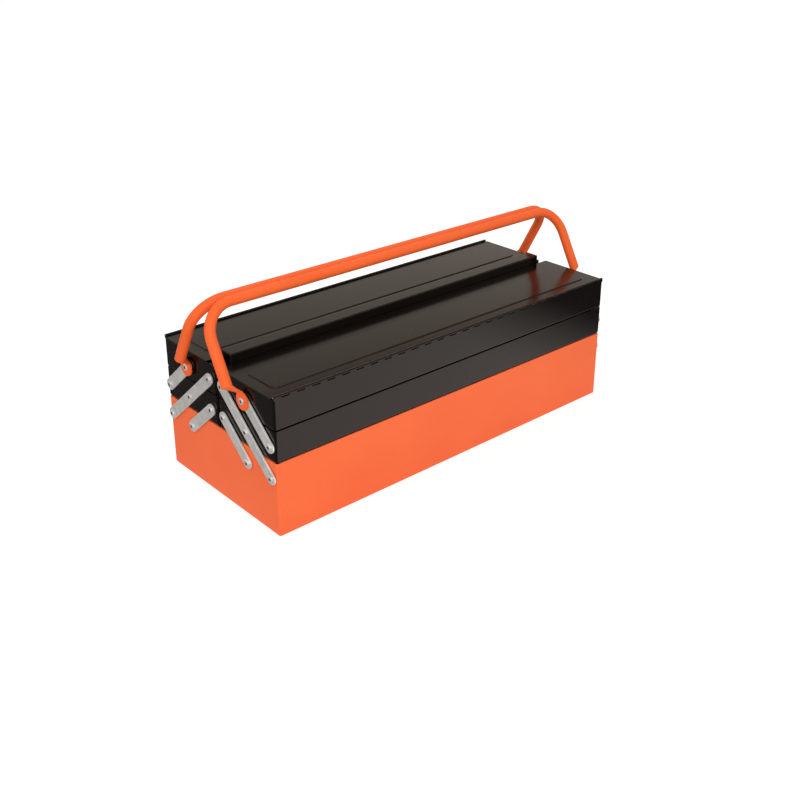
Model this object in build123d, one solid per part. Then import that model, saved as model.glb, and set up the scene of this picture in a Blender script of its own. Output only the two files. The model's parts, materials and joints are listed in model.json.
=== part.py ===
from build123d import *
import os
from math import asin, atan2, cos, degrees, hypot, sin

# Five-tray cantilever tool box, closed.
# X runs along the length, the front is at -Y, Z is up, and the origin is on the ground at the middle.
# All sizes are in millimetres.

# Box and trays
box_length = 528.0          # over the end panels
box_depth = 218.0           # over the front and rear walls
box_height = 89.0           # rim of the bottom box above the ground
lower_tray_height = 36.8
upper_tray_height = 35.4
level_gap = 1.2             # between a rim and the floor of the tray above it
seam_gap = 3.5              # between the front trays and the rear trays
sheet = 0.8                 # folded steel sheet
corner_radius = 2.5         # upright corners, outside
fold_radius = 1.6           # fold between floor and wall, outside
hem_height = 8.0            # rim sheet folded back inside the wall
hem_relief = 4.0            # the hem stops this far from the next wall
flap_width = 14.0           # end flaps welded inside the long walls
corner_relief = 2.2         # rounded cut-out where three folds meet
rim_relief = 1.8            # upright corners cut down at the bottom box's rim

# Linkage
pivot_rise = 17.0           # pivots above each tray's floor
pivot_inset = 8.5           # outer pivots from the outer wall
pivot_inner = 12.5          # inner pivots from the middle plane
link_width = 14.0
link_thickness = 2.0
link_edge = 0.35            # broken edge of a stamped link
shank_radius = 2.5
head_radius = 4.2
head_height = 1.4
head_bevel = 0.9
head_hollow_radius = 1.5
head_hollow_depth = 0.9
tail_radius = 4.0
tail_height = 1.2
washer_radius = 5.6
washer_thickness = 0.8
side_play = 0.1             # between stacked moving plates
running_clearance = 0.06    # radial, link on rivet and lid on rod
drill_clearance = 0.05      # radial, panel or washer around a rivet
drill_depth = 6.0           # cutter through a panel, centred on its outer face

# Lids and their hinges
lid_overhang = 1.5          # past each end panel
lid_seat = 0.3              # lid above the tray rim
lid_hem_width = 8.0
panel_end_inset = 13.0      # pressed panel's ends from the end panels
panel_near = 35.0           # pressed panel's near edge from the middle plane
panel_inset = 18.0          # pressed panel's far edge from the outer wall
panel_corner_radius = 9.0
panel_rise = 1.1
panel_slope = 40.0          # degrees from upright
ridge_front = 7.4           # ridge face in front of the middle plane
ridge_back = 12.0           # ridge face behind the middle plane
ridge_height = 11.2         # above the lid
ridge_inset = 16.5          # the ridge stops this far from the lid's ends
lid_corner_setback = 5.0    # rear lid's corners beside the ridge, back from its rear face
ridge_fold_radius = 1.6
ridge_gap = 0.9             # between the ridge and the front lid's edge
swing_clearance = 0.4       # front tray's inner rim passing under the rear lid
rod_radius = 0.8
knuckle_radius = 1.6
knuckle_count = 53          # an odd count, so that both ends belong to the tray
knuckle_gap = 0.4
notch_gap = 0.5             # lid or wall edge cut back from the other leaf's knuckle

# Handles
tube_radius = 6.2
tube_wall = 1.2
handle_reach = 105.5        # pivot to the middle of the grip
handle_bend_radius = 36.0
leg_offset = 16.0           # leg's middle line from the end panel
bar_gap = 0.5               # between the two grips when closed
tab_thickness = 2.0
tab_radius = 10.5
neck_width = 11.0
neck_round = 0.95           # rounded edges of the flattened tube
neck_end = 10.0             # flat neck ends this far from the pivot
crimp_end = 19.0            # full tube starts this far from the pivot

# Places that follow from these sizes
half_length = box_length / 2
half_depth = box_depth / 2
seam_face = seam_gap / 2
pivot_outer = half_depth - pivot_inset
panel_far = half_depth - panel_inset
panel_half_length = half_length - panel_end_inset
level_pitch = lower_tray_height + level_gap
lower_floor = box_height + level_gap
lower_rim = lower_floor + lower_tray_height
upper_floor = lower_rim + level_gap
upper_rim = upper_floor + upper_tray_height
pivot_middle = (pivot_outer + pivot_inner) / 2
box_pivot_z = lower_floor + pivot_rise - level_pitch
lower_pivot_z = lower_floor + pivot_rise
upper_pivot_z = upper_floor + pivot_rise
link_step_y = pivot_outer - pivot_middle
link_radius = hypot(link_step_y, level_pitch)
link_lean = atan2(link_step_y, level_pitch)
link_face = washer_thickness + side_play
link_grip = link_face + link_thickness + side_play
tab_face = link_grip
handle_grip = tab_face + tab_thickness + side_play
pivot_bore = shank_radius + running_clearance
lid_under = upper_rim + lid_seat
lid_sheet_under = lid_under + sheet
lid_top = lid_sheet_under + sheet
hinge_y = half_depth - knuckle_radius
hinge_z = lid_sheet_under + knuckle_radius
front_lid_edge = ridge_front + ridge_gap
ridge_reach = half_length + lid_overhang - ridge_inset
leg_x = half_length + leg_offset
handle_lean = asin((pivot_middle - tube_radius - bar_gap / 2) / handle_reach)
bar_z = upper_pivot_z + handle_reach * cos(handle_lean)

ENDS = {"left": -1, "right": 1}
nodes = {}


def block(x0, x1, y0, y1, z0, z1):
    """A box from its limits."""
    return Pos((x0 + x1) / 2, (y0 + y1) / 2, (z0 + z1) / 2) * Box(x1 - x0, y1 - y0, z1 - z0)


def rounded_block(x0, x1, y0, y1, z0, z1, upright, floor):
    """A box with its upright edges and its floor edges rounded."""
    body = block(x0, x1, y0, y1, z0, z1)
    body = fillet(body.edges().filter_by(Axis.Z), upright)
    return fillet(body.faces().sort_by(Axis.Z)[0].edges(), floor)


def along_x(profile, x0, x1):
    """A sketch drawn as (Y, Z) and extruded from x0 to x1."""
    face = Plane(origin=(x0, 0, 0), x_dir=(0, 1, 0), z_dir=(1, 0, 0)) * profile
    return extrude(face, x1 - x0)


def to_rear(solid):
    """The same piece for the rear half."""
    return mirror(solid, about=Plane.XZ)


def end_plane(end, y, z):
    """A plane on an end panel's outer face, with its normal pointing away from the box."""
    return Plane(origin=(end * half_length, y, z), x_dir=(0, 1, 0), z_dir=(end, 0, 0))


def row(side, distances, z):
    """Pivot places (y, z) on the front or rear half, from their distances to the middle plane."""
    return [(side * y, z) for y in distances]


def hem(x0, x1, y0, y1, rim):
    """The rim's sheet folded back on its inner side."""
    return block(x0, x1, y0, y1, rim - hem_height, rim)


def folded_pan(y0, y1, floor, rim):
    """A tray folded from one sheet, with welded corner flaps and hemmed end walls."""
    outer = rounded_block(-half_length, half_length, y0, y1, floor, rim, corner_radius, fold_radius)
    inner = rounded_block(-half_length + sheet, half_length - sheet, y0 + sheet, y1 - sheet,
                          floor + sheet, rim + sheet, corner_radius - sheet, fold_radius - sheet)
    pan = outer - inner
    for end in ENDS.values():
        wall = end * (half_length - sheet)
        leaf = sorted((wall, wall - end * sheet))
        pan += hem(leaf[0], leaf[1], y0 + sheet + hem_relief, y1 - sheet - hem_relief, rim)
        flap = sorted((wall - end * fold_radius, wall - end * (fold_radius + flap_width)))
        for inside in (y0 + sheet, y1 - 2 * sheet):
            pan += block(flap[0], flap[1], inside, inside + sheet, floor + fold_radius, rim - hem_height)
    return pan


def long_hem(y0, y1, rim):
    """Hem of a long wall, which stops short of the end walls."""
    reach = half_length - sheet - hem_relief
    return hem(-reach, reach, y0, y1, rim)


def drill(pan, holes):
    """Rivet holes through both end panels, at each (y, z)."""
    for y, z in holes:
        for end in ENDS.values():
            pan -= end_plane(end, y, z) * Cylinder(shank_radius + drill_clearance, drill_depth)
    return pan


def rivet(grip):
    """Tubular rivet along Z from the panel's outer face: tail, shank and hollow head."""
    top = grip + head_height
    outline = Polyline((0, -sheet - tail_height), (tail_radius, -sheet - tail_height), (tail_radius, -sheet),
                       (shank_radius, -sheet), (shank_radius, grip), (head_radius, grip),
                       (head_radius, top - head_bevel), (head_radius - head_bevel, top),
                       (head_hollow_radius, top), (head_hollow_radius, top - head_hollow_depth),
                       (0, top - head_hollow_depth), close=True)
    return revolve(Plane.XZ * make_face(outline), Axis.Z)


def rivet_row(places, grip):
    """Identical rivets at each (y, z) of both ends, as separate solids."""
    return [end_plane(end, y, z) * rivet(grip) for y, z in places for end in ENDS.values()]


def washer_row(places):
    """Spacer washers between an end panel and the links."""
    ring = Circle(washer_radius) - Circle(shank_radius + drill_clearance)
    ring = extrude(ring, washer_thickness)
    return [end_plane(end, y, z) * ring for y, z in places for end in ENDS.values()]


def link(end, y, z, steps):
    """A flat link from the pivot at (y, z), with a hole at every step up towards the middle plane."""
    span = steps * link_radius
    inward = 1 if y < 0 else -1
    direction = (0, inward * sin(link_lean), cos(link_lean))
    face = Plane(origin=(end * (half_length + link_face), y, z), x_dir=direction, z_dir=(end, 0, 0))
    outline = Pos(span / 2, 0) * SlotCenterToCenter(span, link_width)
    for step in range(steps + 1):
        outline -= Pos(step * link_radius, 0) * Circle(pivot_bore)
    plate = extrude(outline, link_thickness)
    outer_face = plate.faces().sort_by(Axis.Z)[-1]
    plate = chamfer(outer_face.outer_wire().edges(), link_edge)
    return face * plate


def knuckle_spans(first):
    """The (x0, x1) of every second knuckle along the hinge."""
    pitch = box_length / knuckle_count
    return [(-half_length + i * pitch + knuckle_gap / 2, -half_length + (i + 1) * pitch - knuckle_gap / 2)
            for i in range(first, knuckle_count, 2)]


def barrel(x0, x1):
    """One rolled knuckle of the front hinge."""
    ring = Pos(-hinge_y, hinge_z) * (Circle(knuckle_radius) - Circle(rod_radius + running_clearance))
    return along_x(ring, x0, x1)


def front_tray_knuckles():
    """The outer wall's top edge below the lid's knuckles, and its tongues rolled around the rod."""
    reach = half_length - corner_radius
    tongues = [block(-reach, reach, -half_depth, -half_depth + sheet,
                     upper_rim - sheet, lid_sheet_under - notch_gap)]
    for x0, x1 in knuckle_spans(0):
        tongue = block(x0, x1, -half_depth, -half_depth + sheet, upper_rim - sheet, hinge_z)
        tongues += [tongue, barrel(x0, x1)]
    return tongues


def pressed_panel():
    """The lid's raised panel in the front lid's place, with its base on Z = 0."""
    centre = -(panel_near + panel_far) / 2
    outline = Pos(0, centre) * RectangleRounded(2 * panel_half_length, panel_far - panel_near,
                                                panel_corner_radius)
    return extrude(outline, panel_rise, taper=panel_slope)


def front_lid_sheet(inner_edge):
    """Flat sheet with hemmed ends, a pressed panel and rolled knuckles; inner_edge is its Y."""
    reach = half_length + lid_overhang
    knuckle_edge = -hinge_y + knuckle_radius + notch_gap
    lid = block(-reach, reach, knuckle_edge, inner_edge, lid_sheet_under, lid_top)
    for end in ENDS.values():
        leaf = sorted((end * reach, end * (reach - lid_hem_width)))
        lid += block(leaf[0], leaf[1], knuckle_edge + hem_relief, inner_edge - hem_relief,
                     lid_under, lid_sheet_under)
    panel = pressed_panel()
    lid -= Pos(0, 0, lid_top - sheet) * panel
    lid += Pos(0, 0, lid_top) * panel - Pos(0, 0, lid_top - sheet) * panel
    for x0, x1 in knuckle_spans(1):
        lid += block(x0, x1, -hinge_y, knuckle_edge, lid_sheet_under, lid_top)
        lid += barrel(x0, x1)
        lid -= along_x(Pos(-hinge_y, hinge_z) * Circle(rod_radius + running_clearance), x0, x1)
    return lid


def ridge_block(shrink):
    """The ridge's outside, or its hollow when it shrinks by the sheet, down to the sheet's underside."""
    reach = ridge_reach - shrink
    body = block(-reach, reach, -ridge_front + shrink, ridge_back - shrink,
                 lid_sheet_under, lid_top + ridge_height - shrink)
    upright = fillet(body.edges().filter_by(Axis.Z), ridge_fold_radius - shrink)
    return fillet(upright.faces().sort_by(Axis.Z)[-1].edges(), ridge_fold_radius - shrink)


def handle():
    """Front handle: bent tube with its leg ends crimped to flat riveted tabs."""
    up = (0, sin(handle_lean), cos(handle_lean))
    across = (0, -cos(handle_lean), sin(handle_lean))
    frame = Plane(origin=(0, -pivot_middle, upper_pivot_z), x_dir=(1, 0, 0), z_dir=across)
    path = FilletPolyline((-leg_x, crimp_end), (-leg_x, handle_reach), (leg_x, handle_reach),
                          (leg_x, crimp_end), radius=handle_bend_radius)
    start = Plane(origin=(-leg_x, crimp_end, 0), x_dir=(1, 0, 0), z_dir=(0, 1, 0))
    ring = Circle(tube_radius) - Circle(tube_radius - tube_wall)
    body = sweep(start * ring, path=path)
    tab_x = half_length + tab_face
    for end in ENDS.values():
        plate_x = end * (tab_x + tab_thickness / 2)
        neck = Plane(origin=(plate_x, neck_end, 0), x_dir=(1, 0, 0), z_dir=(0, 1, 0))
        full = Plane(origin=(end * leg_x, crimp_end, 0), x_dir=(1, 0, 0), z_dir=(0, 1, 0))
        crimp = loft([neck * RectangleRounded(tab_thickness, neck_width, neck_round),
                      full * Circle(tube_radius)])
        outline = Circle(tab_radius) + Pos(0, neck_end / 2) * Rectangle(neck_width, neck_end)
        outline -= Circle(pivot_bore)
        side = Plane(origin=(end * tab_x, 0, 0), x_dir=(0, 0, -end), z_dir=(end, 0, 0))
        body += crimp
        body += extrude(side * outline, tab_thickness)
    return frame * body


# Bottom box
bottom = folded_pan(-half_depth, half_depth, 0, box_height)
for wall in (-half_depth + sheet, half_depth - 2 * sheet):
    bottom += long_hem(wall, wall + sheet, box_height)
for corner_y in (-half_depth, half_depth):
    for corner_x in (-half_length, half_length):
        bottom -= Pos(corner_x, corner_y, 0) * Sphere(corner_relief)
        bottom -= Pos(corner_x, corner_y, box_height) * Sphere(rim_relief)
box_pivots = row(-1, (pivot_outer, pivot_middle), box_pivot_z)
box_pivots += row(1, (pivot_outer, pivot_middle), box_pivot_z)
nodes["bottom_box"] = drill(bottom, box_pivots)
nodes["bottom_box_rivets"] = rivet_row(box_pivots, link_grip)
nodes["bottom_box_washers"] = washer_row(box_pivots)

# Lower trays
lower = folded_pan(-half_depth, -seam_face, lower_floor, lower_rim)
for wall in (-half_depth + sheet, -seam_face - 2 * sheet):
    lower += long_hem(wall, wall + sheet, lower_rim)
lower_row = (pivot_outer, pivot_middle, pivot_inner)
lower = drill(lower, row(-1, lower_row, lower_pivot_z))

# Upper trays: the front one's inner wall is cut down, so that it swings out under the rear lid's edge
upper = folded_pan(-half_depth, -seam_face, upper_floor, upper_rim)
upper += long_hem(-half_depth + sheet, -half_depth + 2 * sheet, upper_rim)
upper = upper.fuse(*front_tray_knuckles())
rear_upper = upper + long_hem(-seam_face - 2 * sheet, -seam_face - sheet, upper_rim)
swing_out = ridge_front - seam_face
swing_angle = link_lean - asin(sin(link_lean) - swing_out / (2 * link_radius))
swing_rise = 2 * link_radius * (cos(link_lean - swing_angle) - cos(link_lean))
low_rim = lid_sheet_under - swing_rise - swing_clearance
wedge = make_face(Polyline((-front_lid_edge, upper_rim), (-seam_face - 2 * sheet, low_rim), (0, low_rim),
                           (0, lid_top), (-front_lid_edge, lid_top), close=True))
front_upper = upper - along_x(wedge, -box_length, box_length)
front_upper += long_hem(-seam_face - 2 * sheet, -seam_face - sheet, low_rim)
upper_row = (pivot_inner, pivot_middle)
front_upper = drill(front_upper, row(-1, upper_row, upper_pivot_z))
rear_upper = drill(rear_upper, row(-1, upper_row, upper_pivot_z))

# Lids and rods
front_lid = front_lid_sheet(-front_lid_edge)
edge_hem_reach = half_length + lid_overhang - lid_hem_width - hem_relief
front_lid += block(-edge_hem_reach, edge_hem_reach, -front_lid_edge - lid_hem_width, -front_lid_edge,
                   lid_under, lid_sheet_under)
rear_lid = to_rear(front_lid_sheet(-ridge_back - lid_corner_setback))
rear_lid += block(-ridge_reach, ridge_reach, 0, ridge_back + lid_corner_setback,
                  lid_sheet_under, lid_top)
rear_lid += ridge_block(0)
rear_lid -= ridge_block(sheet)
rod = Pos(0, -hinge_y, hinge_z) * Rot(0, 90, 0) * Cylinder(rod_radius, box_length)

# The pieces that come in front and rear pairs
pairs = {
    "lower_tray": (lower, to_rear(lower)),
    "upper_tray": (front_upper, to_rear(rear_upper)),
    "lid": (front_lid, rear_lid),
    "hinge_rod": (rod, to_rear(rod)),
    "handle": (handle(), to_rear(handle())),
}
for name, (front, rear) in pairs.items():
    nodes["front_" + name] = front
    nodes["rear_" + name] = rear

for half, side in (("front", -1), ("rear", 1)):
    lower_pivots = row(side, lower_row, lower_pivot_z)
    upper_pivots = row(side, (pivot_inner,), upper_pivot_z)
    handle_pivots = row(side, (pivot_middle,), upper_pivot_z)
    nodes[half + "_lower_tray_rivets"] = rivet_row(lower_pivots, link_grip)
    nodes[half + "_lower_tray_washers"] = washer_row(lower_pivots)
    nodes[half + "_upper_tray_rivets"] = rivet_row(upper_pivots, link_grip)
    nodes[half + "_handle_rivets"] = rivet_row(handle_pivots, handle_grip)
    nodes[half + "_upper_tray_washers"] = washer_row(upper_pivots + handle_pivots)
    for end_name, end in ENDS.items():
        nodes[half + "_long_link_" + end_name] = link(end, side * pivot_outer, box_pivot_z, 2)
        nodes[half + "_lower_short_link_" + end_name] = link(end, side * pivot_middle, box_pivot_z, 1)
        nodes[half + "_upper_short_link_" + end_name] = link(end, side * pivot_outer, lower_pivot_z, 1)

os.makedirs("parts", exist_ok=True)
for name, shape in nodes.items():
    if isinstance(shape, list):
        shape = Compound(children=shape)
    shape.label = name
    export_step(shape, os.path.join("parts", name + ".step"))

print("link radius %.2f, lean %.2f degrees" % (link_radius, degrees(link_lean)))
print("pivots z %.2f %.2f %.2f, middle y %.2f" % (box_pivot_z, lower_pivot_z, upper_pivot_z, pivot_middle))
print("hinge y %.2f z %.2f, lid top %.2f" % (hinge_y, hinge_z, lid_top))
print("handle lean %.2f degrees, bar z %.2f" % (degrees(handle_lean), bar_z))
print("low rim %.2f" % low_rim)
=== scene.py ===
# %% [markdown]
# # A cantilever tool box
# The object is a sheet steel tool box with five trays. Four black trays swing out on flat links, two
# lids open on knuckled hinges, and two orange tube handles fold down. The shapes come from a CAD
# model, which is loaded first and never changed. They could be modelled again here, but then the
# pivots could drift off the real ones, and a tray that swings would cut into its neighbour. So
# Blender adds what CAD can't: paint, plating, light and a camera.

# %% Load the CAD model
import json
from math import cos, radians, sin

import bpy
import bmesh
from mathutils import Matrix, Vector

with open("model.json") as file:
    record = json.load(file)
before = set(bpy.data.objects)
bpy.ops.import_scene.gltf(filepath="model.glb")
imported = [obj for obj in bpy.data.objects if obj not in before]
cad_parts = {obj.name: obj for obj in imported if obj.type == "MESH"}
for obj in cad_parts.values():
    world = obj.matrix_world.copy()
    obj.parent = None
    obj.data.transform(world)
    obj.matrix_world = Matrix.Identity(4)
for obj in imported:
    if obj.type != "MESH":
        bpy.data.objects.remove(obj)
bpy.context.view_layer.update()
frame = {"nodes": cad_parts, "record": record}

mm = 0.001
print("CAD nodes:", len(frame["nodes"]))

# %% [markdown]
# ## Arithmetic on sockets
# A procedural finish is a small formula, for example a noise times a strength plus a base value. It
# could be drawn in the Shader Editor, but there each plus and times is a box of its own, and the
# formula is hard to read back. So one class wraps a socket and gives it Python's operators, and each
# operator adds the Math node that it stands for.

# %% A socket with operators
class Wire:
    """One output socket of a node tree; arithmetic on it adds Math nodes."""

    def __init__(self, graph, socket):
        self.graph = graph
        self.socket = socket

    def __add__(self, other):
        return self.graph.math("ADD", self, other)

    def __sub__(self, other):
        return self.graph.math("SUBTRACT", self, other)

    def __rsub__(self, other):
        return self.graph.math("SUBTRACT", other, self)

    def __mul__(self, other):
        return self.graph.math("MULTIPLY", self, other)

    __radd__ = __add__
    __rmul__ = __mul__


print("operators on a wire: + - *")

# %% [markdown]
# ## Any node in one call
# Every other node could be added with a line for each of its settings, values and links, but a
# finish has dozens. So one method does it all. It sets the settings first, because a setting such as
# a Mix node's data type decides which sockets the node has, and then puts values or wires on the
# sockets. The nodes that every finish needs get short names.

# %% A node tree with short names
class Graph:
    """A node tree, with one way to add a node and short names for the common ones."""

    def __init__(self, tree):
        self.tree = tree

    def node(self, kind, settings, inputs, output=0):
        """Adds a node: its settings first, then values or wires on its inputs."""
        made = self.tree.nodes.new(kind)
        for key, value in settings.items():
            setattr(made, key, value)
        for key, value in inputs.items():
            self.plug(made.inputs[key], value)
        return Wire(self, made.outputs[output])

    def plug(self, socket, value):
        """Puts a wire or a plain value on a socket."""
        if isinstance(value, Wire):
            self.tree.links.new(value.socket, socket)
        else:
            socket.default_value = value

    def math(self, operation, first, second):
        return self.node("ShaderNodeMath", {"operation": operation}, {0: first, 1: second})

    def limits(self, value, low, high):
        """0 below low, 1 above high, and a straight ramp between."""
        return self.node("ShaderNodeMapRange", {"clamp": True},
                         {"Value": value, "From Min": low, "From Max": high})

    def colours(self, share, first, second):
        """The first colour where share is 0 and the second where it is 1."""
        return self.node("ShaderNodeMix", {"data_type": "RGBA"},
                         {"Factor": share, 6: first, 7: second}, 2)

    def axis(self, vector, letter):
        """One of a vector's three numbers."""
        return self.node("ShaderNodeSeparateXYZ", {}, {"Vector": vector}, letter)

    def ray(self, kind):
        """1 for light rays of this kind, such as Camera or Glossy."""
        return self.node("ShaderNodeLightPath", {}, {}, "Is %s Ray" % kind)


print("short names on a node tree: math, limits, colours, axis, ray")

# %% [markdown]
# ## A finish under construction
# Every material is one Principled shader. What is the same all over goes straight onto the shader's
# own sockets, and what changes over the surface is noise. The noise could read Generated
# coordinates, but those stretch with each piece. It reads Object coordinates: the CAD objects stand
# at the origin, so these are metres in the box's own frame, and a pattern keeps its real size on a
# rivet as on a lid.

# %% Start a finish
class Finish(Graph):
    """A Principled material whose patterns are measured in the box's own frame."""

    def __init__(self, name, **plain):
        self.material = bpy.data.materials.new(name)
        self.material.use_nodes = True
        super().__init__(self.material.node_tree)
        self.shader = self.tree.nodes["Principled BSDF"]
        for socket, value in plain.items():
            self.shader.inputs[socket.replace("_", " ")].default_value = value
        self.place = self.node("ShaderNodeTexCoord", {}, {}, "Object")

    def noise(self, width, detail):
        """Cloudy noise from 0 to 1, in patches about this wide."""
        return self.node("ShaderNodeTexNoise", {},
                         {"Vector": self.place, "Scale": 1.0 / width, "Detail": detail})

    def streaks(self, widths):
        """Noise with a patch width for each axis, for grain and scratches."""
        drawn = self.node("ShaderNodeVectorMath", {"operation": "DIVIDE"}, {0: self.place, 1: widths})
        return self.node("ShaderNodeTexNoise", {}, {"Vector": drawn, "Scale": 1.0, "Detail": 3.0})

    def contrast(self, noise):
        """Stretches the middle of a noise, where most of it lies, to the whole of 0 to 1."""
        return self.limits(noise, 0.3, 0.7)


print("patches 1.4 mm wide are a noise with a scale of", round(1.0 / (1.4 * mm)))

# %% [markdown]
# ## Folded edges
# Every fold of the real sheet is a little round, and the folds catch thin lines of light. These
# could be painted by hand, but then every sheet has to be unwrapped, and the rounding could be
# modelled, but the CAD meshes stay as they are. A Bevel node turns the surface's direction near an
# edge in the shader alone. That rounds the edge in the light, and where the turned direction leaves
# the flat one, the surface knows that it is near an edge. The finishes lighten the colour there as a
# painted highlight.

# %% Round the folds and find them
fold_radius = 0.5 * mm
edge_begins, edge_is_full = 0.01, 0.12


def rounded(finish, width):
    """The way the surface faces, with its sharp edges rounded off."""
    return finish.node("ShaderNodeBevel", {"samples": 4}, {"Radius": width})


def edges(finish, width):
    """1 on edges closer than the width, 0 on the flats."""
    flat = finish.node("ShaderNodeNewGeometry", {}, {}, "Normal")
    agreement = finish.node("ShaderNodeVectorMath", {"operation": "DOT_PRODUCT"},
                            {0: rounded(finish, width), 1: flat}, "Value")
    return finish.limits(1.0 - agreement, edge_begins, edge_is_full)


print("folds are rounded over", round(fold_radius / mm, 1), "mm")

# %% [markdown]
# ## Colour, roughness and relief
# These three are all that changes over a painted or plated sheet. The relief could be real
# displacement, but hills a few hundredths of a millimetre high would need millions of faces. A Bump
# node only tilts the light as such hills would, and it adds to the rounded folds.

# %% Connect a finish to its shader
def surface(finish, colour, roughness, relief, depth):
    """Puts the colour, the roughness and a relief of this depth on the shader."""
    bump = finish.node("ShaderNodeBump", {}, {"Height": relief, "Distance": depth,
                                              "Normal": rounded(finish, fold_radius)})
    finish.plug(finish.shader.inputs["Base Color"], colour)
    finish.plug(finish.shader.inputs["Roughness"], roughness)
    finish.plug(finish.shader.inputs["Normal"], bump)
    return finish.material


def tint(red, green, blue):
    """A colour as a socket wants it, with an alpha of 1."""
    return (red, green, blue, 1.0)


print("a colour on a socket:", tint(1.0, 0.5, 0.0))

# %% [markdown]
# ## Orange powder coat
# The bottom box and the handles wear powder coat: dry paint that is baked until it flows. It is
# satin and keeps a faint skin of hills about a millimetre wide. One flat orange would look like
# moulded plastic. So slow patches move the shade a little, two noises make the skin, and the edge
# mask lightens the folds as a painted highlight. The tubes are a deeper orange than the sheets,
# so the recipe is a function that both use.

# %% The orange finishes
def powder_coat(name, deep, light, roughness):
    """Slow patches of shade, a skin of small hills, and a painted highlight on folded edges."""
    coat = Finish(name, IOR=1.45, Specular_IOR_Level=0.15)
    patches = coat.contrast(coat.noise(width=110 * mm, detail=3.0))
    haze = coat.noise(width=17 * mm, detail=2.0)
    hills = coat.noise(width=1.4 * mm, detail=1.0)
    grit = coat.noise(width=0.4 * mm, detail=0.0)
    edge_highlight = tint(*[min(1.0, 1.12 * channel + 0.02) for channel in light[:3]])
    colour = coat.colours(patches, deep, light)
    # painted highlight: the folded edges are lightened in colour
    colour = coat.colours(0.2 * edges(coat, 0.6 * mm), colour, edge_highlight)
    return surface(coat, colour, roughness + 0.06 * haze, hills + 0.4 * grit, depth=0.05 * mm)


box_orange = powder_coat("orange_powder_coat", roughness=0.42,
                         deep=tint(0.94, 0.155, 0.048), light=tint(0.98, 0.173, 0.056))
tube_orange = powder_coat("orange_tube_coat", roughness=0.36,
                          deep=tint(0.90, 0.128, 0.026), light=tint(0.95, 0.146, 0.032))
print("orange finishes:", box_orange.name, tube_orange.name)

# %% [markdown]
# ## Black stove enamel
# Trays and lids are sprayed with black enamel and baked. A black this deep shows almost nothing of
# its own, so its shape is read from its gloss: the lids mirror the pale room and the handles. A pure
# mirror would look like glass. The enamel has a soft orange-peel skin that ripples the reflections,
# a slow haze, and fine specks of dust that dull it.

# %% The black finish
def stove_enamel(name, deep, worn):
    """Gloss black with an orange-peel skin, haze, dust and painted highlights on the folds."""
    coat = Finish(name, IOR=1.45, Specular_Tint=tint(1.0, 0.87, 0.82))
    haze = coat.noise(width=140 * mm, detail=3.0)
    dust = coat.limits(coat.noise(width=0.5 * mm, detail=4.0), 0.66, 0.74)
    peel = coat.noise(width=2.4 * mm, detail=1.0)
    ripple = coat.noise(width=0.7 * mm, detail=0.0)
    colour = coat.colours(coat.contrast(haze), deep, worn)
    colour = coat.colours(0.1 * dust, colour, tint(0.1, 0.09, 0.08))
    # painted highlight: the folds are lightened in colour
    colour = coat.colours(0.3 * edges(coat, fold_radius), colour, tint(0.02, 0.018, 0.016))
    roughness = 0.14 + 0.07 * haze + 0.15 * dust
    return surface(coat, colour, roughness, peel + 0.3 * ripple, depth=0.03 * mm)


black_paint = stove_enamel("black_enamel", deep=tint(0.0026, 0.002, 0.0015),
                           worn=tint(0.004, 0.003, 0.0024))
print("black finish:", black_paint.name, "with", len(black_paint.node_tree.nodes), "nodes")

# %% [markdown]
# ## Zinc plate
# Links, rivets and washers are stamped or turned, zinc plated, and tumbled in a barrel. The plate is
# a pale silver with cloudy spangle. A shader that is all metal would only mirror the room, but the
# plate's bloom is partly matt, so the shader is part metal and part pale paint. Tumbling leaves fine
# scratches, and the edges are lightened in colour as a painted highlight. One recipe with other shades
# and grain serves the links, the rivets, the darker washers and the drawn hinge rods.

# %% The plated finishes
def plated(name, dark, bright, roughness, grain, painted_shade=None):
    """Cloudy spangle, fine scratches, painted edge highlights, and painted shade where one is given.
    """
    plate = Finish(name, Metallic=0.58)
    cloud = plate.noise(width=11 * mm, detail=3.0)
    scratch = plate.streaks(grain)
    colour = plate.colours(plate.contrast(cloud), dark, bright)
    # painted highlight: the edges are lightened towards a pale silver
    colour = plate.colours(0.8 * edges(plate, fold_radius), colour, tint(0.95, 0.95, 0.93))
    if painted_shade:
        # painted shade: the hollow of each rivet head is darkened in colour
        colour = plate.colours(0.9 * painted_shade(plate), colour, tint(0.05, 0.05, 0.045))
    rough = roughness + 0.08 * cloud + 0.08 * scratch
    return surface(plate, colour, rough, 0.4 * cloud + scratch, depth=0.02 * mm)


even_grain = (1.1 * mm, 1.1 * mm, 1.1 * mm)
link_grain = (3.3 * mm, 0.7 * mm, 3.3 * mm)
wire_grain = (16 * mm, 0.6 * mm, 0.6 * mm)
link_zinc = plated("zinc_link", tint(0.77, 0.77, 0.74), tint(0.94, 0.94, 0.91), 0.36, link_grain)
washer_zinc = plated("zinc_washer", tint(0.36, 0.36, 0.35), tint(0.5, 0.5, 0.48), 0.34, even_grain)
rod_steel = plated("drawn_steel", tint(0.28, 0.28, 0.28), tint(0.42, 0.42, 0.41), 0.3, wire_grain)
print("plated finishes:", link_zinc.name, washer_zinc.name, rod_steel.name)

# %% [markdown]
# ## Hollow rivets
# The rivets are tubular: each head has a small round hollow, which is darkened in colour as painted
# shade, so it reads as a dark dot. The dots could be pieces of their own, but the hollows are
# already in the CAD heads and only need the painted shade. All pivots lie on a grid, 44 mm across and
# 38 mm up, so a Ping-pong node, which counts up and down, gives the way to the nearest pivot for all
# of them at once.

# %% The rivets' finish
first_pivot_across, pivot_step_across = 12.5 * mm, 44 * mm
first_pivot_up, pivot_step_up = 69.2 * mm, 38 * mm
hollow_radius, shade_radius = 1.5 * mm, 2.0 * mm
end_panel = 264 * mm


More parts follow.
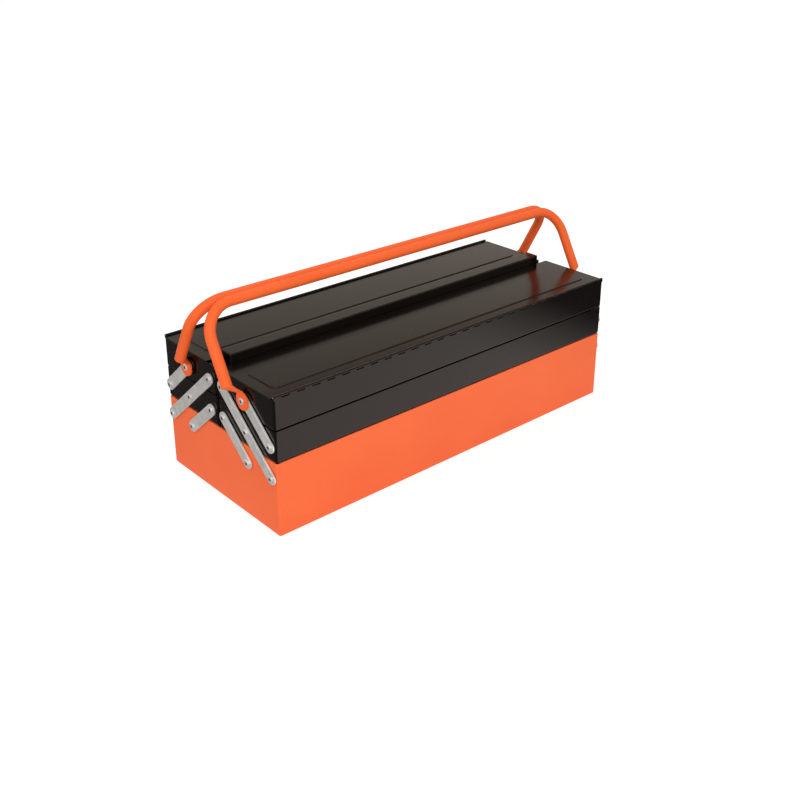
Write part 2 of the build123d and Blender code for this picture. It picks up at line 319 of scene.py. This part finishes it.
def hollow_painted_shade(plate):
    """Painted shade: 1 in the hollow of each rivet head, 0 past its rim and on the tails inside the
    trays.
    """
    along, across = [plate.math("ABSOLUTE", plate.axis(plate.place, letter), 0.0) for letter in "XY"]
    beside = plate.math("PINGPONG", across - first_pivot_across, 0.5 * pivot_step_across)
    above = plate.math("PINGPONG", plate.axis(plate.place, "Z") - first_pivot_up, 0.5 * pivot_step_up)
    away = beside * beside + above * above
    shaded = 1.0 - plate.limits(away, hollow_radius ** 2, shade_radius ** 2)
    return shaded * plate.limits(along, end_panel, end_panel + mm)


rivet_zinc = plated("zinc_rivet", tint(0.76, 0.76, 0.74), tint(0.9, 0.9, 0.88), 0.3, even_grain,
                    hollow_painted_shade)
print("rivet finish:", rivet_zinc.name, "with", len(rivet_zinc.node_tree.nodes), "nodes")

# %% [markdown]
# ## Who wears what
# Every CAD node names a material slot in its record. The finishes could be given node by node, but
# one table from slot to finish can't forget a node: a slot without a finish would stop the script
# here.

# %% Put the finishes on the CAD nodes
finishes = {
    "orange_paint": box_orange,
    "orange_tube_paint": tube_orange,
    "black_paint": black_paint,
    "link_zinc": link_zinc,
    "rivet_zinc": rivet_zinc,
    "washer_zinc": washer_zinc,
    "rod_steel": rod_steel,
}
slot_of = {part["node"]: part["material_slot"] for part in frame["record"]["subparts"]}
for name, piece in frame["nodes"].items():
    for slot in piece.material_slots:
        slot.material = finishes[slot_of[name]]
print("dressed nodes:", len(slot_of), "in", len(finishes), "finishes")

# %% [markdown]
# ## Light that shows the room and light that falls on the box
# The box stands on a plain white floor under a plain soft light. The eye should find a white room.
# Lamps could make it white, but light that strong would wash the colours out. Light Path tells the
# two apart: rays that show the room, to the camera, in gloss or through glass, find it pale, and the
# light that falls on the box stays plain.

# %% Rays that show the room
def shown_to(graph, *kinds):
    """1 for rays of any of these kinds, 0 for all others."""
    shown = graph.ray(kinds[0])
    for kind in kinds[1:]:
        shown = graph.math("MAXIMUM", shown, graph.ray(kind))
    return shown


def grey(level):
    return tint(level, level, level)


eye_and_glass = ("Camera", "Transmission")
room_rays = eye_and_glass + ("Glossy",)
print("rays that show the room:", room_rays)

# %% [markdown]
# ## The floor
# The floor is one large square sheet, far wider than the view, so that no edge of it shows from any
# side. It could be a small plane that is scaled up, but a sheet made at its real size keeps its
# object unscaled. It lies a hair under the box, because two faces in one plane would flicker.

# %% The floor's sheet
floor_mesh = bpy.data.meshes.new("floor")
floor = bpy.data.objects.new("floor", floor_mesh)
bpy.context.scene.collection.objects.link(floor)
sheet = bmesh.new()
bmesh.ops.create_grid(sheet, x_segments=1, y_segments=1, size=30.0)
bmesh.ops.translate(sheet, verts=sheet.verts, vec=(0, 0, -0.2 * mm))
sheet.to_mesh(floor_mesh)
sheet.free()
print("floor:", len(floor_mesh.polygons), "face,", round(floor.dimensions.x), "m wide")

# %% [markdown]
# ## White paper on a table
# The paper could be all glow, but then the box would cast no shadow and seem to float. So most of
# the white that the eye sees is the paper's own glow, and the rest is lit and keeps the shadow. In
# gloss the paper is a shade warmer, and dims past the ends of the box, as a table that stops in a
# darker studio does. Without that, the black end panels would mirror white and look grey.

# %% The paper
paper_lights_the_box, paper_lit, paper_glow = 0.85, 0.38, 0.76
paper_in_gloss = tint(0.78, 0.74, 0.7)
past_left, past_right = (-0.3, -0.262), (0.27, 0.48)

paper = Finish("studio_floor", Roughness=0.9, Specular_IOR_Level=0.1, Emission_Strength=1.0)
shown = shown_to(paper, *room_rays)
gloss = paper.ray("Glossy")
along = paper.axis(paper.place, "X")
dim = gloss * (0.9 * (1.0 - paper.limits(along, *past_left)) + 0.95 * paper.limits(along, *past_right))
lit = paper.colours(shown, grey(paper_lights_the_box), grey(paper_lit))
glow = paper.colours(gloss, paper.colours(shown, grey(0.0), grey(paper_glow)), paper_in_gloss)
paper.plug(paper.shader.inputs["Base Color"], paper.colours(dim, lit, grey(0.0)))
paper.plug(paper.shader.inputs["Emission Color"], paper.colours(dim, glow, grey(0.0)))
floor_mesh.materials.append(paper.material)
print("paper:", len(paper.tree.nodes), "nodes")

# %% [markdown]
# ## The room
# The world is white to the eye and gives an even soft light. An image of a studio could light it
# too, but a formula needs no file. In gloss the room is cream near the horizon and falls off towards
# the ceiling, where a studio has no wall to mirror. The lids mirror that part, so they come out a
# warm dark grey and not as white sheets.

# %% The world
soft_light = 0.66
cream = tint(1.0, 0.88, 0.76)
wall_ends, ceiling_begins, ceiling_shade = 0.2, 0.4, 0.6

world = bpy.data.worlds.new("studio")
bpy.context.scene.world = world
world.use_nodes = True
room = Graph(world.node_tree)
lining = world.node_tree.nodes["Background"]
height = room.axis(room.node("ShaderNodeTexCoord", {}, {}, "Generated"), "Z")
ceiling = room.limits(height, wall_ends, ceiling_begins)
mirrored = room.ray("Glossy") * (1.0 - ceiling_shade * ceiling)
seen = room.math("MAXIMUM", shown_to(room, *eye_and_glass), mirrored)
room.plug(lining.inputs["Strength"], seen + soft_light * (1.0 - shown_to(room, *room_rays)))
room.plug(lining.inputs["Color"], room.colours(room.ray("Glossy"), grey(1.0), cream))
print("world:", len(world.node_tree.nodes), "nodes")

# %% [markdown]
# ## Two softboxes
# An even world alone leaves all sides of a box alike. One broad lamp from the upper left front makes
# the front a little brighter than the end, and another behind the box lifts the lids. Spot lamps
# could do that too, but they draw hard shadows. These are large and far away, so shadows have no
# hard edge.

# %% The lamps
centre = Vector((0, 0, 0.1))


def softbox(name, watts, place):
    """A square area lamp that points at the middle of the box."""
    lamp = bpy.data.lights.new(name, "AREA")
    lamp.energy = watts
    lamp.shape = "SQUARE"
    lamp.size = 1.6
    holder = bpy.data.objects.new(name, lamp)
    bpy.context.scene.collection.objects.link(holder)
    holder.location = place
    holder.rotation_euler = (centre - Vector(place)).to_track_quat("-Z", "Y").to_euler()


softbox("key", watts=29.0, place=(-1.4, -1.73, 1.56))
softbox("top", watts=8.0, place=(0.6, 0.9, 2.1))
print("lamps:", [lamp.name for lamp in bpy.data.lights])

# %% [markdown]
# ## The camera
# The camera stands where the photographer's did: in front of the left corner and above the lids. It
# could be turned by eye until it looks right. Instead its place, direction and lens were fitted to
# the corners of the box, the rivets and the lids. The photograph's uprights are almost parallel, so
# the lens is shifted a little, as an architect's would be.

# %% Place the camera
azimuth, elevation = radians(-41.4), radians(22.57)
picture_widths_to_focus = 1.335

backwards = Vector((sin(azimuth) * cos(elevation), -cos(azimuth) * cos(elevation), sin(elevation)))
lens = bpy.data.cameras.new("photo_camera")
lens.sensor_width = 36.0
lens.lens = picture_widths_to_focus * lens.sensor_width
lens.shift_y = -0.1
lens.clip_end = 100.0
camera = bpy.data.objects.new("photo_camera", lens)
bpy.context.scene.collection.objects.link(camera)
camera.location = (-0.810, -0.923, 0.657)
camera.rotation_mode = "QUATERNION"
camera.rotation_quaternion = (-backwards).to_track_quat("-Z", "Y")
bpy.context.scene.camera = camera
print("camera at", [round(v, 3) for v in camera.location], "with a lens of", round(lens.lens, 1), "mm")

# %% [markdown]
# The Standard view shows a colour as it is written.

# %% Finish with the Standard view
bpy.context.scene.view_settings.view_transform = "Standard"
